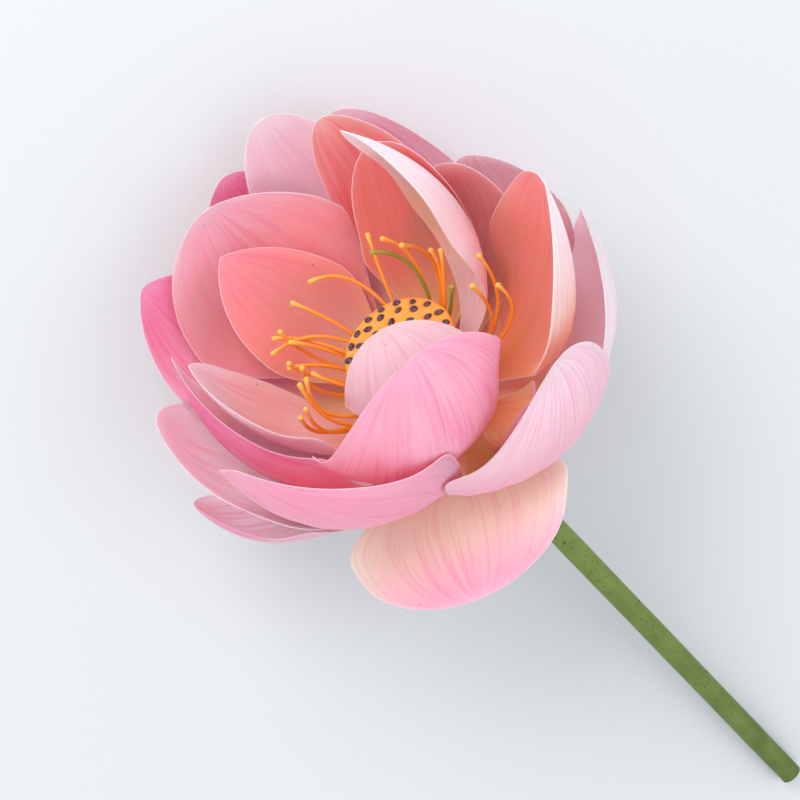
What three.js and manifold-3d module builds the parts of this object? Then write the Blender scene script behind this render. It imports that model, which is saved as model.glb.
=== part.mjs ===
// A pink sacred lotus bloom on its cut stem, lying on a flat surface.
// Units are millimetres and +Z is up. The stem runs along Y, with the bloom at its +Y end.
// The bloom is an assembly: a stem, the receptacle on top of it, stamens round the receptacle,
// and petals in four whorls. Every piece is its own closed solid.
import * as THREE from "three";
import { mergeVertices } from "three/addons/utils/BufferGeometryUtils.js";
import Module from "manifold-3d";

const wasm = await Module();
wasm.setup();

const DEG = Math.PI / 180;

// ---------------------------------------------------------------- driving dimensions

const STEM_RADIUS = 4.4; // at the neck
const STEM_TAPER = 0.92; // the cut end against the neck
const STEM_LENGTH = 178; // straight stretch, from the end of the neck's bend to the cut
const NECK_TOP = 15; // the stem's top, where it carries the receptacle
const NECK_RADIUS = 7.6; // the swollen ring that the petals are attached to
const NECK_BEND = 29 * DEG;
const NECK_BEND_RADIUS = 45;
const STEM_HEADING = 284; // direction round the bloom's axis in which the stem leaves it, degrees
const STEM_RINGS = 26;
const STEM_SIDES = 16;

const RECEPTACLE_RADIUS = 20.3; // widest, just under the rim of the top
const RECEPTACLE_TOP = 44; // height of the dome's crown over the lowest petal's foot
const RECEPTACLE_DOME = 2.2; // how far the top falls from its crown to its rim
const RECEPTACLE_SIDES = 30;
const CARPEL_RADIUS = 1.5;
const CARPEL_SINK = 0.9; // how far a carpel's middle lies under the top
const CARPEL_RINGS = [
  { count: 1, radius: 0, start: 0 },
  { count: 5, radius: 5.4, start: 14 },
  { count: 9, radius: 9.9, start: 31 },
  { count: 14, radius: 14.1, start: 8 },
  { count: 19, radius: 17.9, start: 4 },
];
const GAP = 0.3; // between the receptacle and the stem

const FILAMENT_RADIUS = 0.65;
const ANTHER_RADIUS = 1.05; // the knob at a stamen's tip
const STAMEN_FOOT_RADIUS = 9.2; // distance of a stamen's foot from the bloom's axis
const STAMEN_SIDES = 6;
const PETAL_THICKNESS = 0.9;
const PETAL_ROWS = 12; // grid steps from foot to tip
const PETAL_COLUMNS = 6; // grid steps from margin to margin
const CLAW = 0.09; // width of a petal's foot against its blade
const LEAST_HALF_WIDTH = 0.4;

// How the flower lies: it has rolled about the bloom's axis by LYING_ROLL, the axis rises from the
// surface at LYING_PITCH, and LYING_HEADING turns it on the surface until the stem runs along Y.
const LYING_ROLL = 1.6 * DEG;
const LYING_PITCH = 39 * DEG;
const LYING_HEADING = -7.3 * DEG;

// ---------------------------------------------------------------- petals

// Each whorl's petals share these values; a petal's own entry overrides them.
// azimuth: where the petal stands round the bloom's axis, degrees; sway: how far its tip swings
// on from there; foot, heel, tip: [radius, height] of the midrib's ends and of the corner that it
// bends towards; width of the blade; cup: half the angle the blade wraps through across its width;
// roll: turn of the blade about its midrib; curl: extra inward roll of the [left, right] margin;
// point: how full the blade is next to its tip, lower for a pointed tip.
const WHORLS = {
  inner: { foot: [8.6, 12.5], heel: [58, 14], width: 60, cup: 55 },
  middle: { foot: [8.6, 9], heel: [68, 10], width: 68, cup: 50 },
  outer: { foot: [8.6, 5.5], heel: [78, 6], width: 70, cup: 45 },
  guard: { foot: [8.6, 2], heel: [80, 2], width: 68, cup: 38 },
};
const PETAL_DEFAULTS = { sway: 0, roll: 0, curl: [0, 0], point: 1.8 };

const PETALS = [
  {
    name: "inner_petal_1", whorl: "inner", azimuth: 248.1, sway: 11.6, foot: [8.6, 14.4],
    heel: [44.9, 32.8], tip: [9.2, 63.1], width: 66.6, cup: 62.3, roll: -7.1,
  },
  {
    name: "inner_petal_2", whorl: "inner", azimuth: 251, sway: 20, foot: [8.6, 11],
    heel: [78, 29], tip: [40, 77], width: 101, cup: 77, roll: 7,
  },
  {
    name: "inner_petal_3", whorl: "inner", azimuth: 178.5, sway: -18.3, foot: [8.6, 12.5],
    heel: [59.4, 15], tip: [64.1, 71.8], width: 50.2, cup: 62.2, roll: 12.1, point: 1.2,
  },
  {
    name: "inner_petal_4", whorl: "inner", azimuth: 114.6, sway: 1.2, foot: [8.6, 12.5],
    heel: [52.9, 17.6], tip: [70.1, 63.7], width: 52.5, cup: 49.3, roll: -4.7, point: 1.15,
  },
  {
    name: "inner_petal_5", whorl: "inner", azimuth: 51.6, sway: -0.1, foot: [8.6, 12.5],
    heel: [60.7, 14.5], tip: [57.4, 80.5], width: 49.9, cup: 52.9, roll: 5.2,
  },
  {
    name: "inner_petal_6", whorl: "inner", azimuth: 15.5, sway: 36.3, foot: [8.6, 12.5],
    heel: [70.4, 35.9], tip: [44.7, 103], width: 45.2, cup: 74.5, roll: -27.9, point: 1.3,
  },
  {
    name: "middle_petal_1", whorl: "middle", azimuth: 109, sway: -1, foot: [8.6, 9],
    heel: [77.9, 27.7], tip: [79.7, 74.1], width: 80.3, cup: 32, roll: -20.3, point: 1.4,
  },
  {
    name: "middle_petal_2", whorl: "middle", azimuth: 62.7, sway: 5, foot: [8.6, 7.2],
    heel: [87.8, 15.2], tip: [67, 89.2], width: 41.8, cup: 48.7, roll: 10.3, point: 1.5,
  },
  {
    name: "middle_petal_3", whorl: "middle", azimuth: 35.7, sway: -3.9, foot: [8.6, 9],
    heel: [68.4, 12.7], tip: [61, 63.9], width: 54.1, cup: 45.2, roll: 5.8,
  },
  {
    name: "middle_petal_4", whorl: "middle", azimuth: 345.4, sway: 2.1, foot: [8.6, 9],
    heel: [63.9, 10.4], tip: [71, 79.3], width: 72.9, cup: 36.6, roll: 8.4, curl: [0.3, 0],
    point: 1.6,
  },
  {
    name: "middle_petal_5", whorl: "middle", azimuth: 192.9, sway: -38.8, foot: [8.6, 9.4],
    heel: [74, 5], tip: [70.9, 69.5], width: 70.5, cup: 53.5, roll: 20.8, point: 1.3,
  },
  {
    name: "middle_petal_6", whorl: "middle", azimuth: 295.5, sway: -2.6, foot: [8.6, 12],
    heel: [53, 9.3], tip: [43.1, 22.1], width: 33.6, cup: 52.6, roll: 0.3,
  },
  {
    name: "outer_petal_1", whorl: "outer", azimuth: 133.2, sway: -3.7, foot: [8.6, 5.5],
    heel: [83.9, 3.5], tip: [92.6, 66.5], width: 65.5, cup: 43.3, roll: -4.1, point: 1.25,
  },
  {
    name: "outer_petal_2", whorl: "outer", azimuth: 100.6, sway: -2.6, foot: [8.6, 1.2],
    heel: [98, -1.4], tip: [90.3, 69], width: 62, cup: 40.3, roll: -7.2, point: 1.4,
  },
  {
    name: "outer_petal_3", whorl: "outer", azimuth: 84, sway: 0.4, foot: [8.6, 5.5],
    heel: [84.9, 9], tip: [90, 80], width: 52, cup: 38.7, roll: 7.5,
  },
  {
    name: "outer_petal_4", whorl: "outer", azimuth: 48.6, sway: 18.2, foot: [8.6, 3.8],
    heel: [96.5, -5.5], tip: [87, 70], width: 50.2, cup: 34.7, roll: -15.1,
  },
  {
    name: "outer_petal_5", whorl: "outer", azimuth: 24.4, sway: 1.5, foot: [8.6, 5.3],
    heel: [89, 12], tip: [67.2, 62.3], width: 55.8, cup: 30.8, roll: 9.2,
  },
  {
    name: "outer_petal_6", whorl: "outer", azimuth: 329.7, sway: 17.4, foot: [8.6, 3.6],
    heel: [82.6, 3.6], tip: [74.9, 47.1], width: 80.7, cup: 34.6, roll: -4,
  },
  {
    name: "outer_petal_7", whorl: "outer", azimuth: 273.9, sway: 28.5, foot: [8.6, 5.8],
    heel: [84.9, 6.3], tip: [66.2, 50.8], width: 71.9, cup: 47.1, roll: -15.1,
  },
  {
    name: "outer_petal_8", whorl: "outer", azimuth: 231.3, sway: -27.8, foot: [8.6, 4.4],
    heel: [79.1, 11], tip: [72.3, 71.4], width: 91.4, cup: 61.1, roll: 8.2, point: 1.3,
  },
  {
    name: "guard_petal_1", whorl: "guard", azimuth: 180, sway: -14.3, foot: [8.6, 2],
    heel: [80.5, 1.1], tip: [84.3, 58], width: 80.8, cup: 34.2, roll: 6, point: 1.4,
  },
  {
    name: "guard_petal_2", whorl: "guard", azimuth: 186, sway: -9, foot: [8.6, -1],
    heel: [83, -6.2], tip: [87, 27.1], width: 67.9, cup: 35.6, roll: 22, point: 1.4,
  },
  {
    name: "guard_petal_3", whorl: "guard", azimuth: 248, sway: 0.7, foot: [8.6, 2],
    heel: [44, 3.7], tip: [77.8, -3], width: 88.1, cup: 12.6, roll: 7.4,
  },
];

// ---------------------------------------------------------------- petal shape

const smooth = (x) => {
  const t = Math.min(1, Math.max(0, x));
  return t * t * (3 - 2 * t);
};

// Half the blade's width at u, from a narrow claw at the foot to a rounded point at the tip.
function halfWidth(p, u) {
  const swell = CLAW + (1 - CLAW) * smooth((u - 0.02) / 0.58);
  return (p.width / 2) * swell * Math.pow(1 - Math.pow(u, 5), 1 / p.point) + LEAST_HALF_WIDTH;
}

// The point of the petal's middle surface at u from foot to tip and v from margin to margin.
function petalPoint(p, u, v) {
  const [[r0, z0], [r1, z1], [r2, z2]] = [p.foot, p.heel, p.tip];
  const w = 1 - u;
  const radius = w * w * r0 + 2 * w * u * r1 + u * u * r2;
  const height = w * w * z0 + 2 * w * u * z1 + u * u * z2;
  const lean = Math.atan2(w * (r1 - r0) + u * (r2 - r1), w * (z1 - z0) + u * (z2 - z1));
  const half = halfWidth(p, u);
  const wrap = p.cup * DEG * Math.min(1, (2 * half) / p.width);
  const side = v < 0 ? p.curl[0] : p.curl[1];
  const rim = Math.pow(Math.max(0, Math.abs(v) - 0.45) / 0.55, 2);
  const across = (half * Math.sin(wrap * v)) / wrap;
  const inward = (half * (1 - Math.cos(wrap * v))) / wrap + side * rim * half * smooth(u * 2);
  const roll = p.roll * DEG * smooth(u * 1.6);
  const x = across * Math.cos(roll) - inward * Math.sin(roll);
  const y = across * Math.sin(roll) + inward * Math.cos(roll);
  const azimuth = (p.azimuth + p.sway * u * u) * DEG;
  const out = radius - y * Math.cos(lean);
  const up = height + y * Math.sin(lean);
  return new THREE.Vector3(
    out * Math.cos(azimuth) - x * Math.sin(azimuth),
    out * Math.sin(azimuth) + x * Math.cos(azimuth),
    up,
  );
}

// A closed shell of the given thickness about the surface at(u, v).
function shell(at, rows, columns, thickness) {
  const count = (rows + 1) * (columns + 1);
  const positions = new Float32Array(count * 6);
  const d = 1e-3;
  for (let i = 0; i <= rows; i++) {
    const u = Math.sin((i / rows) * Math.PI * 0.5) * 0.35 + (i / rows) * 0.65;
    for (let j = 0; j <= columns; j++) {
      const v = (2 * j) / columns - 1;
      const point = at(u, v);
      const du = at(Math.min(1, u + d), v).sub(at(Math.max(0, u - d), v));
      const dv = at(u, Math.min(1, v + d)).sub(at(u, Math.max(-1, v - d)));
      const normal = du.cross(dv).normalize().multiplyScalar(thickness / 2);
      const k = i * (columns + 1) + j;
      point.clone().add(normal).toArray(positions, k * 3);
      point.clone().sub(normal).toArray(positions, (count + k) * 3);
    }
  }
  const faces = [];
  const quad = (a, b, c, e) => faces.push(a, b, c, a, c, e);
  const index = (i, j) => i * (columns + 1) + j;
  for (let i = 0; i < rows; i++) {
    for (let j = 0; j < columns; j++) {
      const [a, b, c, e] = [index(i, j), index(i + 1, j), index(i + 1, j + 1), index(i, j + 1)];
      quad(a, b, c, e);
      quad(count + a, count + e, count + c, count + b);
    }
  }
  for (let i = 0; i < rows; i++) {
    quad(index(i, 0), count + index(i, 0), count + index(i + 1, 0), index(i + 1, 0));
    const [a, b] = [index(i, columns), index(i + 1, columns)];
    quad(a, b, count + b, count + a);
  }
  for (let j = 0; j < columns; j++) {
    quad(index(0, j), index(0, j + 1), count + index(0, j + 1), count + index(0, j));
    const [a, b] = [index(rows, j), index(rows, j + 1)];
    quad(a, count + a, count + b, b);
  }
  const geometry = new THREE.BufferGeometry();
  geometry.setAttribute("position", new THREE.BufferAttribute(positions, 3));
  geometry.setIndex(faces);
  geometry.computeVertexNormals();
  return geometry;
}

const PETAL_COLOURS = { inner: 0xf9a9b4, middle: 0xf8949e, outer: 0xf893b4, guard: 0xfbc3d0 };

function makePetal(entry) {
  const petal = { ...PETAL_DEFAULTS, ...WHORLS[entry.whorl], ...entry };
  const surface = (u, v) => petalPoint(petal, u, v);
  const mesh = new THREE.Mesh(
    shell(surface, PETAL_ROWS, PETAL_COLUMNS, PETAL_THICKNESS),
    new THREE.MeshStandardMaterial({ color: PETAL_COLOURS[entry.whorl], roughness: 0.6 }),
  );
  mesh.name = petal.name;
  return mesh;
}

// ---------------------------------------------------------------- stamens, receptacle, stem

// A closed tube along a curve, with a radius at each of its rings and a flat face at each end.
function sweep(curve, radii, sides) {
  const rings = radii.length;
  const frames = curve.computeFrenetFrames(rings - 1, false);
  const positions = [];
  for (let i = 0; i < rings; i++) {
    const centre = curve.getPointAt(i / (rings - 1));
    for (let j = 0; j < sides; j++) {
      const angle = (2 * Math.PI * j) / sides;
      const point = centre.clone();
      point.addScaledVector(frames.normals[i], radii[i] * Math.cos(angle));
      point.addScaledVector(frames.binormals[i], radii[i] * Math.sin(angle));
      positions.push(...point.toArray());
    }
  }
  const faces = [];
  for (let i = 0; i + 1 < rings; i++) {
    for (let j = 0; j < sides; j++) {
      const a = i * sides + j;
      const b = i * sides + ((j + 1) % sides);
      faces.push(a, b, b + sides, a, b + sides, a + sides);
    }
  }
  const last = (rings - 1) * sides;
  for (let j = 1; j + 1 < sides; j++) {
    faces.push(0, j + 1, j, last, last + j, last + j + 1);
  }
  const geometry = new THREE.BufferGeometry();
  geometry.setAttribute("position", new THREE.Float32BufferAttribute(positions, 3));
  geometry.setIndex(faces);
  geometry.computeVertexNormals();
  return geometry;
}

// A point of the bloom given by its angle round the axis, radius and height.
const aroundAxis = (azimuth, radius, height) =>
  new THREE.Vector3(
    radius * Math.cos(azimuth * DEG),
    radius * Math.sin(azimuth * DEG),
    height,
  );

// azimuth and height: where the filament leaves the neck; bow: [radius, height] that it bends
// towards; tip: [radius, height] of its knob; sway: how far the tip swings round the axis.
const STAMEN_DEFAULTS = { height: 17.2, bow: [27, 45], sway: 0 };
const STAMENS = [
  { azimuth: 62.3, sway: 42.6, tip: [45.5, 47.5], height: 17.2, bow: [40.4, 48.1] },
  { azimuth: 110, sway: 7.9, tip: [43.9, 50.3], height: 17.2, bow: [26.2, 43.5] },
  { azimuth: 137.3, sway: -2.3, tip: [41.4, 52.3], height: 16.4, bow: [40.6, 34.4] },
  { azimuth: 112.8, sway: 28.8, tip: [46.6, 45.1], height: 19.4, bow: [25.7, 55.6] },
  { azimuth: 137.5, sway: -5.5, tip: [49.3, 43.3], height: 19.4, bow: [25.1, 52.5] },
  { azimuth: 132, sway: 7.4, tip: [38.3, 49.5], height: 17.4, bow: [24.9, 42.1] },
  { azimuth: 152.9, sway: 5.4, tip: [35.6, 53.8], height: 18.7, bow: [36.2, 39.3] },
  { azimuth: 144.6, sway: 9, tip: [39, 47.1], height: 17.5, bow: [26.3, 45.4] },
  { azimuth: 162, sway: 2, tip: [31.3, 52.9], height: 19.4, bow: [39.5, 32.5] },
  { azimuth: 202.4, sway: -20.5, tip: [33.9, 57.9], height: 17, bow: [41.4, 31.8] },
  { azimuth: 200.3, sway: -23.6, tip: [30.9, 54.9], height: 19.6, bow: [44.1, 41.5] },
  { azimuth: 187.7, sway: -28.5, tip: [31, 45.2], height: 20.5, bow: [25.3, 44.3] },
  { azimuth: 191.2, sway: -3.9, tip: [37.5, 50.2], height: 19.4, bow: [44.8, 27.8] },
  { azimuth: 180.7, sway: 5.6, tip: [40.6, 47.8], height: 17.2, bow: [45.5, 26.4] },
  { azimuth: 73, sway: -3.1, tip: [43.7, 52.8], height: 17.3, bow: [25.9, 41.1] },
  { azimuth: 36.1, sway: 26.4, tip: [37.1, 54.9], height: 17.2, bow: [42.1, 40.5] },
  { azimuth: 23.8, sway: 11.6, tip: [34.6, 49.8], height: 16.6, bow: [34.2, 41.6] },
  { azimuth: 24.9, sway: 44.1, tip: [31.8, 55.7], height: 19.4, bow: [38.6, 46.4] },
  { azimuth: 15.9, sway: 9.3, tip: [34.5, 52.4], height: 17.6, bow: [27.7, 43.2] },
  { azimuth: 35.8, sway: 1.1, tip: [25.7, 64.2], height: 19.4, bow: [46.6, 36.9] },
  { azimuth: 342.5, sway: 14, tip: [39.3, 57.2], height: 17.2, bow: [43.1, 25.9] },
  { azimuth: 332.8, sway: 12.9, tip: [39.5, 48], height: 17.2, bow: [48.7, 30.1] },
  { azimuth: 337.5, sway: 3, tip: [33.1, 56.4], height: 19.4, bow: [39, 26.1] },
  { azimuth: 8, sway: 0, tip: [27, 46], height: 19.4, bow: [27, 45] },
];

function makeStamen(entry, index) {
  const stamen = { ...STAMEN_DEFAULTS, ...entry };
  const { azimuth, sway, height, bow, tip } = stamen;
  const curve = new THREE.QuadraticBezierCurve3(
    aroundAxis(azimuth, STAMEN_FOOT_RADIUS, height),
    aroundAxis(azimuth + sway * 0.3, ...bow),
    aroundAxis(azimuth + sway, ...tip),
  );
  const filament = new Array(7).fill(FILAMENT_RADIUS);
  const mesh = new THREE.Mesh(
    sweep(curve, [...filament, ANTHER_RADIUS, ANTHER_RADIUS * 0.6], STAMEN_SIDES),
    new THREE.MeshStandardMaterial({ color: 0xf9a13a, roughness: 0.5 }),
  );
  mesh.name = `stamen_${index + 1}`;
  return mesh;
}

// Height of the receptacle's domed top at a radius.
const domeHeight = (radius) =>
  RECEPTACLE_TOP - RECEPTACLE_DOME * Math.pow(radius / RECEPTACLE_RADIUS, 2);

// The receptacle is a shallow cup's shape, solid, with the tips of its carpels standing out of the top.
function makeReceptacle() {
  const profile = [
    [0, NECK_TOP + GAP],
    [7, NECK_TOP + GAP],
    [7.6, 21],
    [10, 28],
    [15, 34.5],
    [RECEPTACLE_RADIUS - 0.8, 38.4],
    [RECEPTACLE_RADIUS, 40.2],
    [RECEPTACLE_RADIUS - 1, domeHeight(RECEPTACLE_RADIUS) + 0.2],
    [14, domeHeight(14)],
    [7, domeHeight(7)],
    [0, RECEPTACLE_TOP],
  ].map(([r, z]) => new THREE.Vector2(r, z));
  const body = new THREE.LatheGeometry(profile, RECEPTACLE_SIDES).rotateX(Math.PI / 2);
  let solid = toManifold(body);
  for (const ring of CARPEL_RINGS) {
    for (let i = 0; i < ring.count; i++) {
      const azimuth = ring.start + (360 * i) / ring.count;
      const carpel = new THREE.IcosahedronGeometry(CARPEL_RADIUS, 1);
      const seat = aroundAxis(azimuth, ring.radius, domeHeight(ring.radius) - CARPEL_SINK);
      carpel.translate(...seat.toArray());
      solid = solid.add(toManifold(carpel));
    }
  }
  const mesh = new THREE.Mesh(
    fromManifold(solid),
    new THREE.MeshStandardMaterial({ color: 0xffa53a, roughness: 0.55 }),
  );
  mesh.name = "receptacle";
  return mesh;
}

function toManifold(geometry) {
  const bare = new THREE.BufferGeometry();
  bare.setAttribute("position", geometry.getAttribute("position"));
  if (geometry.index) bare.setIndex(geometry.index);
  const merged = mergeVertices(bare, 1e-4);
  const { Manifold, Mesh } = wasm;
  const solid = new Mesh({
    numProp: 3,
    vertProperties: new Float32Array(merged.attributes.position.array),
    triVerts: new Uint32Array(merged.index.array),
  });
  return new Manifold(solid);
}

function fromManifold(solid) {
  const { vertProperties, triVerts } = solid.getMesh();
  const geometry = new THREE.BufferGeometry();
  geometry.setAttribute("position", new THREE.BufferAttribute(vertProperties, 3));
  geometry.setIndex(new THREE.BufferAttribute(triVerts, 1));
  geometry.computeVertexNormals();
  return geometry;
}

// The stem comes down out of the bloom, bends through the neck, and runs straight to its cut end.
function makeStem() {
  const side = aroundAxis(STEM_HEADING, 1, 0);
  const down = new THREE.Vector3(0, 0, -1);
  const points = [new THREE.Vector3(0, 0, NECK_TOP), new THREE.Vector3(0, 0, 7)];
  const bendSteps = 5;
  for (let i = 0; i <= bendSteps; i++) {
    const angle = (NECK_BEND * i) / bendSteps;
    const point = down.clone().multiplyScalar(NECK_BEND_RADIUS * Math.sin(angle));
    points.push(point.addScaledVector(side, NECK_BEND_RADIUS * (1 - Math.cos(angle))));
  }
  const heading = down.clone().multiplyScalar(Math.cos(NECK_BEND));
  heading.addScaledVector(side, Math.sin(NECK_BEND));
  const bendEnd = points[points.length - 1];
  for (const run of [0.35, 0.7, 1]) {
    points.push(bendEnd.clone().addScaledVector(heading, STEM_LENGTH * run));
  }
  const curve = new THREE.CatmullRomCurve3(points, false, "centripetal");
  const radii = [];
  for (let i = 0; i < STEM_RINGS; i++) {
    const t = i / (STEM_RINGS - 1);
    const swell = (NECK_RADIUS - STEM_RADIUS) * smooth(1 - t * 9);
    radii.push(STEM_RADIUS * (1 + (STEM_TAPER - 1) * t) + swell);
  }
  const mesh = new THREE.Mesh(
    sweep(curve, radii, STEM_SIDES),
    new THREE.MeshStandardMaterial({ color: 0x6f8f35, roughness: 0.6 }),
  );
  mesh.name = "stem";
  return mesh;
}

// ---------------------------------------------------------------- assembly

const bloom = new THREE.Group();
bloom.name = "bloom";
bloom.add(makeStem());
bloom.add(makeReceptacle());
STAMENS.forEach((entry, index) => bloom.add(makeStamen(entry, index)));
for (const entry of PETALS) bloom.add(makePetal(entry));

// Lay the flower down on its back, on the two petals behind it and on the stem's cut end.
bloom.rotation.set(LYING_PITCH - Math.PI / 2, 0, LYING_ROLL, "XYZ");

const lying = new THREE.Group();
lying.rotation.z = LYING_HEADING;
lying.add(bloom);

// The origin is on the surface, under the middle of the flower's extent.
const extent = new THREE.Box3().setFromObject(lying, true);
const middle = extent.getCenter(new THREE.Vector3());
lying.position.set(-middle.x, -middle.y, -extent.min.z);

const lotus = new THREE.Group();
lotus.add(lying);

export default lotus;
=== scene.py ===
# %% [markdown]
# # A pink lotus bloom on its cut stem
#
# The flower lies on a pale surface: four whorls of petals open round a yellow receptacle, with
# orange stamens between them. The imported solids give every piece's place. Here each one is made
# again with the fine shape and the skin that the real flower shows.

# %% Load the frame
import math

import bmesh
import bpy
import numpy as np
from mathutils import Matrix, Vector


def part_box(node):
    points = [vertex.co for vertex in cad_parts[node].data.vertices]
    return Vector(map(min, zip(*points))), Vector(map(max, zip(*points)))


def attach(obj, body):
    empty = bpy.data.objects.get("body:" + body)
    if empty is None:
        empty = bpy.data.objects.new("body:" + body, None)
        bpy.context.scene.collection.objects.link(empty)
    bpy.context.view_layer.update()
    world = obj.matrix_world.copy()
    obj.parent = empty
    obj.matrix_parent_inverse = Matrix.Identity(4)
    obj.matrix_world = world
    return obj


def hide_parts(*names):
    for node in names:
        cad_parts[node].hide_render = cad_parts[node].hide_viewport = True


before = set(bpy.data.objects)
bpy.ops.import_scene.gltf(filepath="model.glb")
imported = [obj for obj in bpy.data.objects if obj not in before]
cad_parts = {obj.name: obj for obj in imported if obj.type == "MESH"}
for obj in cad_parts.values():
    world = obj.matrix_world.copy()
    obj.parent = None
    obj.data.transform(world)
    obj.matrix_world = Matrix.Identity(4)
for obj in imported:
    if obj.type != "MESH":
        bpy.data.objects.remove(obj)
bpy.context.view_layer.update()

# %% [markdown]
# ## Sizes and colours
#
# Blender counts in metres, and a flower is easier to think of in millimetres, so every size below
# is in millimetres and turns to metres in one place. Colours are written the way a paint chart
# gives them, as sRGB hex, and one function turns them to the linear values that light adds up in.

# %% Units, colour and number helpers
MM = 0.001
DEG = math.pi / 180


def linear(hex_colour):
    """The linear RGBA of an sRGB hex colour."""
    channels = [int(hex_colour[k : k + 2], 16) / 255 for k in (1, 3, 5)]
    return [c / 12.92 if c <= 0.04045 else ((c + 0.055) / 1.055) ** 2.4 for c in channels] + [1.0]


def smooth(x):
    """A soft step from 0 to 1."""
    t = np.clip(x, 0, 1)
    return t * t * (3 - 2 * t)


print("middle grey in linear light:", round(linear("#808080")[0], 3))

# %% [markdown]
# ## How the flower lies
#
# A bloom is easiest to build round its own axis: the receptacle points up, and a petal has an
# azimuth round the axis, a radius and a height. The cut flower lies down, though. It has rolled
# about the bloom's axis, the axis rises at an angle from the surface, and the whole flower is
# turned until its stem runs along Y. One matrix holds these three turns. Its shift is filled in
# once there is a petal to compare with the frame.

# %% The lying matrix
LYING_ROLL = 1.6 * DEG
LYING_PITCH = 39 * DEG
LYING_HEADING = -7.3 * DEG

lie_down = (
    Matrix.Rotation(LYING_HEADING, 3, "Z")
    @ Matrix.Rotation(LYING_PITCH - math.pi / 2, 3, "X")
    @ Matrix.Rotation(LYING_ROLL, 3, "Z")
)
turn = np.array(lie_down)
shift = np.zeros(3)


def laid(points):
    """Bloom points in millimetres, as an array of any shape, put where they lie in metres."""
    return (np.asarray(points) @ turn.T + shift) * MM


print("the bloom's axis rises", round(math.degrees(math.asin(turn[2, 2])), 1), "degrees")

# %% [markdown]
# ## One petal blade
#
# A lotus petal is a spoon: a narrow claw at the foot swells to a broad blade that ends in a
# rounded or slightly pointed tip. It could be sculpted, or bent out of a flat plane with
# modifiers. A formula is better here, because the frame's solids follow the same one, so the fine
# petal lands exactly where the coarse one is. The midrib is a quadratic curve given by three
# points, each a radius and a height, and the blade wraps round it like part of a cylinder.
#
# `u` runs from foot to tip and `v` from margin to margin.

# %% The petal's formula
CLAW = 0.09  # width of the foot against the blade
TIP_FULLNESS = 5  # how late the blade narrows towards its tip
FOOT_WIDTH = 0.4  # least half width, mm


def half_width(petal, u):
    swell = CLAW + (1 - CLAW) * smooth((u - 0.02) / 0.58)
    taper = (1 - np.clip(u, 0, 1) ** TIP_FULLNESS) ** (1 / petal["point"])
    return petal["width"] / 2 * swell * taper + FOOT_WIDTH


def blade_points(petal, u, v, lift=0.0):
    """Points of the blade's middle surface; lift raises them towards the bloom's axis, mm."""
    (r0, z0), (r1, z1), (r2, z2) = petal["foot"], petal["heel"], petal["tip"]
    w = 1 - u
    radius = w * w * r0 + 2 * w * u * r1 + u * u * r2
    height = w * w * z0 + 2 * w * u * z1 + u * u * z2
    lean = np.arctan2(w * (r1 - r0) + u * (r2 - r1), w * (z1 - z0) + u * (z2 - z1))
    half = half_width(petal, u)
    wrap = petal["cup"] * DEG * np.minimum(1, 2 * half / petal["width"])
    side = np.where(v < 0, petal["curl"][0], petal["curl"][1])
    rim = (np.maximum(0, np.abs(v) - 0.45) / 0.55) ** 2
    across = half * np.sin(wrap * v) / wrap
    inward = half * (1 - np.cos(wrap * v)) / wrap + side * rim * half * smooth(u * 2) + lift
    roll = petal["roll"] * DEG * smooth(u * 1.6)
    x = across * np.cos(roll) - inward * np.sin(roll)
    y = across * np.sin(roll) + inward * np.cos(roll)
    azimuth = (petal["azimuth"] + petal["sway"] * u * u) * DEG
    out = radius - y * np.cos(lean)
    up = height + y * np.sin(lean)
    return np.stack(
        [out * np.cos(azimuth) - x * np.sin(azimuth), out * np.sin(azimuth) + x * np.cos(azimuth), up],
        axis=-1,
    )


# %% [markdown]
# ## The petals of this bloom
#
# Each whorl has its usual petal, and every petal then differs from it a little: where it stands,
# how far its tip swings round the axis (`sway`), how it turns about its midrib (`roll`), how a
# margin rolls inward (`curl`). Its colours are part of the same entry, because no two petals of
# this bloom have the same pink: `inside` is the face towards the axis at its foot, blade and
# tip, and `outside` the other face. `veins` is the colour of the streaks, with how strong they
# are inside and outside. `pale` is how far, in millimetres, a lit fold along the (left, right)
# margin of the inside is painted paler: a painted highlight. The tints are one short list of named
# pinks, corals and creams, and petals that stand in shade get paler ones, a painted lightening, so
# that they don't go dull.

# %% Whorls
CREAM = "#F7E8D6"
SHELL = "#FADFE6"
BLUSH = "#F8CAD5"
PINK = "#F8B2BF"
ROSE = "#F7A0B4"
PEONY = "#F78AAC"
DEEP_ROSE = "#F5719A"
MAGENTA = "#EE6A9E"
SOFT_CORAL = "#F7A6A2"
ROSY_CORAL = "#F79AA4"
CORAL = "#F78C8E"
DEEP_SALMON = "#EA8A7A"
SALMON = "#EA9C7A"
PEACH = "#F5B298"
PALE_PEACH = "#F5D2BE"
APRICOT = "#F5BC80"
TERRACOTTA = "#DA8C5C"

WHORLS = {
    "inner": {"foot": (8.6, 12.5), "heel": (58, 14), "width": 60, "cup": 55},
    "middle": {"foot": (8.6, 9), "heel": (68, 10), "width": 68, "cup": 50},
    "outer": {"foot": (8.6, 5.5), "heel": (78, 6), "width": 70, "cup": 45},
    "guard": {"foot": (8.6, 2), "heel": (80, 2), "width": 68, "cup": 38},
}
USUAL = {
    "sway": 0,
    "roll": 0,
    "curl": (0, 0),
    "point": 1.8,
    "inside": (SALMON, CORAL, ROSE),
    "outside": (BLUSH, ROSE, ROSE),
    "veins": (MAGENTA, 0.35, 0.35),
    "pale": (0, 0),
}
print("whorls from the middle out:", ", ".join(WHORLS))

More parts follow.
